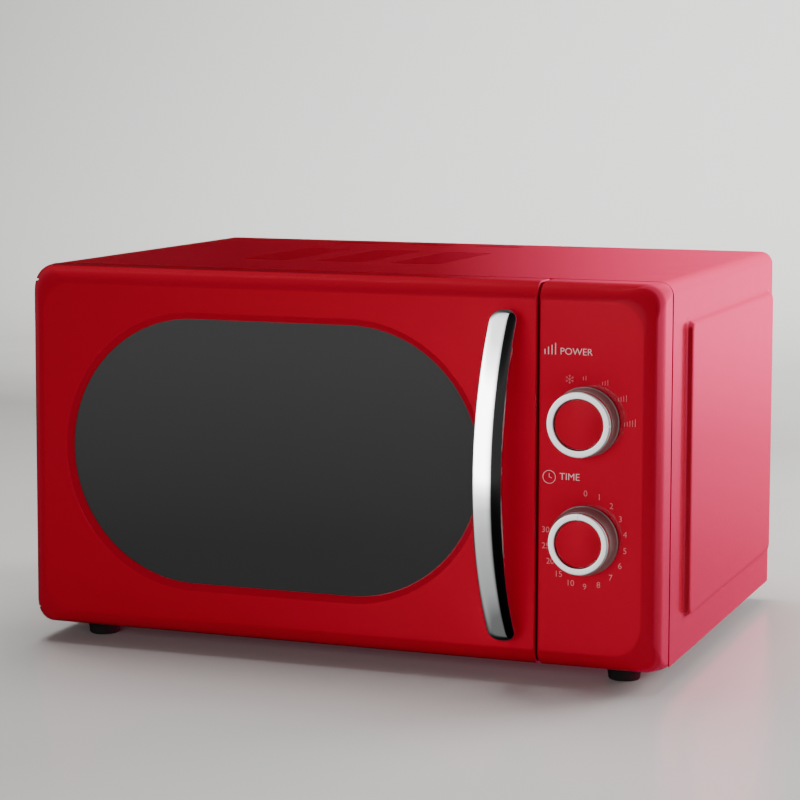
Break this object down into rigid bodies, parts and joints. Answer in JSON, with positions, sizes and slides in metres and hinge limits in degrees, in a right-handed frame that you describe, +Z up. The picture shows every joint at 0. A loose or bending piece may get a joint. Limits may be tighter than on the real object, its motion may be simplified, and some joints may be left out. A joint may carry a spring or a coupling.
{
  "type": "microwave oven",
  "caption": "Countertop microwave oven with side-hinged door, oval dark window, arched chrome bar handle and two rotary dials.",
  "frame": {"origin": "centre of the footprint on the surface that the feet stand on", "axes": "+Z up, -Y towards the user (the door and dials face -Y), +X to the user's right"},
  "size_m": [0.448, 0.3679, 0.258],
  "materials": {
    "red_plastic": "smooth high-gloss red moulding",
    "red_enamel": "glossy red enamelled sheet steel",
    "chrome": "bright mirror chrome plating",
    "zinc_steel": "zinc plated sheet and pressed steel",
    "cavity_enamel": "pale grey easy-clean cavity enamel",
    "smoked_glass": "dark smoked glass",
    "clear_glass": "clear toughened glass",
    "black_plastic": "black moulded plastic",
    "white_nylon": "off-white nylon",
    "rubber": "black foot rubber",
    "copper": "enamelled copper winding",
    "core_steel": "varnished transformer laminations",
    "mica": "mica sheet",
    "brass": "bell metal",
    "board": "circuit board laminate and parts"
  },
  "bodies": {
    "chassis": {"outer_case": "red_enamel", "base_plate": "zinc_steel", "rear_panel": "zinc_steel", "cord_gland": "black_plastic", "foot_front_left": "rubber", "foot_front_right": "rubber", "foot_rear_left": "rubber", "foot_rear_right": "rubber", "cavity": "cavity_enamel", "waveguide": "zinc_steel", "waveguide_cover": "mica", "magnetron_yoke": "zinc_steel", "magnetron_anode": "zinc_steel", "transformer_core": "core_steel", "transformer_windings": "copper", "hv_capacitor": "zinc_steel", "hv_diode": "black_plastic", "hv_fuse": "white_nylon", "fan_shroud": "zinc_steel", "fan_motor": "core_steel", "turntable_motor": "zinc_steel", "control_panel": "red_plastic", "power_switch": "black_plastic", "timer_unit": "white_nylon", "timer_bell": "brass", "latch_board": "white_nylon", "primary_switch": "black_plastic", "secondary_switch": "black_plastic", "monitor_switch": "black_plastic", "hinge_low": "zinc_steel", "hinge_high": "zinc_steel", "oven_lamp": "clear_glass", "lamp_holder": "white_nylon", "thermal_cutout": "black_plastic", "filter_board": "board"},
    "door": {"door_frame": "red_plastic", "door_glass": "smoked_glass", "door_screen": "zinc_steel", "inner_window": "clear_glass", "choke_cover": "black_plastic", "handle": "chrome", "handle_screw_low": "zinc_steel", "handle_screw_high": "zinc_steel"},
    "latch": {"latch_hooks": "white_nylon"},
    "power_dial": {"power_knob": "chrome", "power_cap": "red_plastic", "power_shaft": "zinc_steel"},
    "timer_dial": {"timer_knob": "chrome", "timer_cap": "red_plastic", "timer_shaft": "zinc_steel"},
    "turntable": {"glass_tray": "clear_glass", "turntable_coupler": "white_nylon"},
    "roller_carrier": {"roller_ring": "white_nylon"},
    "roller_wheel_1": {"roller_1": "white_nylon"},
    "roller_wheel_2": {"roller_2": "white_nylon"},
    "roller_wheel_3": {"roller_3": "white_nylon"},
    "fan_rotor": {"fan_blade": "black_plastic"},
    "primary_button": {"primary_plunger": "white_nylon"},
    "secondary_button": {"secondary_plunger": "white_nylon"},
    "monitor_button": {"monitor_plunger": "white_nylon"}
  },
  "joints": [
    {"name": "door_hinge", "type": "hinge", "parent": "chassis", "child": "door", "pos_m": [-0.2125, -0.1285, 0], "axis": [0, 0, -1], "range_deg": [0, 100]},
    {"name": "latch_slide", "type": "slide", "parent": "door", "child": "latch", "axis": [0, 0, 1], "range_m": [0, 0.005], "stiffness_N_per_m": 400, "springref_m": -0.002},
    {"name": "power_turn", "type": "hinge", "parent": "chassis", "child": "power_dial", "pos_m": [0.1725, -0.138, 0.1717], "axis": [0, 1, 0], "range_deg": [-113, 0]},
    {"name": "timer_turn", "type": "hinge", "parent": "chassis", "child": "timer_dial", "pos_m": [0.1725, -0.138, 0.0967], "axis": [0, 1, 0], "range_deg": [0, 280]},
    {"name": "turntable_spin", "type": "hinge", "parent": "chassis", "child": "turntable", "pos_m": [-0.048, 0.0355, 0.05], "axis": [0, 0, 1], "continuous": true},
    {"name": "roller_ring_spin", "type": "hinge", "parent": "chassis", "child": "roller_carrier", "pos_m": [-0.048, 0.0355, 0.0413], "axis": [0, 0, 1], "continuous": true},
    {"name": "roller_1_spin", "type": "hinge", "parent": "roller_carrier", "child": "roller_wheel_1", "pos_m": [-0.048, 0.1275, 0.0413], "axis": [0, 1, 0], "continuous": true},
    {"name": "roller_2_spin", "type": "hinge", "parent": "roller_carrier", "child": "roller_wheel_2", "pos_m": [-0.12767, -0.0105, 0.0413], "axis": [-0.866, -0.5, 0], "continuous": true},
    {"name": "roller_3_spin", "type": "hinge", "parent": "roller_carrier", "child": "roller_wheel_3", "pos_m": [0.03167, -0.0105, 0.0413], "axis": [0.866, -0.5, 0], "continuous": true},
    {"name": "fan_spin", "type": "hinge", "parent": "chassis", "child": "fan_rotor", "pos_m": [0.165, 0.155, 0.19], "axis": [0, 1, 0], "continuous": true},
    {"name": "primary_press", "type": "slide", "parent": "chassis", "child": "primary_button", "axis": [0, 1, 0], "range_m": [0, 0.001], "stiffness_N_per_m": 300, "springref_m": -0.001},
    {"name": "secondary_press", "type": "slide", "parent": "chassis", "child": "secondary_button", "axis": [0, 1, 0], "range_m": [0, 0.001], "stiffness_N_per_m": 300, "springref_m": -0.001},
    {"name": "monitor_press", "type": "slide", "parent": "chassis", "child": "monitor_button", "axis": [0, 1, 0], "range_m": [0, 0.001], "stiffness_N_per_m": 300, "springref_m": -0.001}
  ],
  "couplings": [
    {"joint": "roller_ring_spin", "follows": "turntable_spin", "ratio": 0.5},
    {"joint": "roller_1_spin", "follows": "turntable_spin", "ratio": -6.5714},
    {"joint": "roller_2_spin", "follows": "turntable_spin", "ratio": -6.5714},
    {"joint": "roller_3_spin", "follows": "turntable_spin", "ratio": -6.5714}
  ]
}
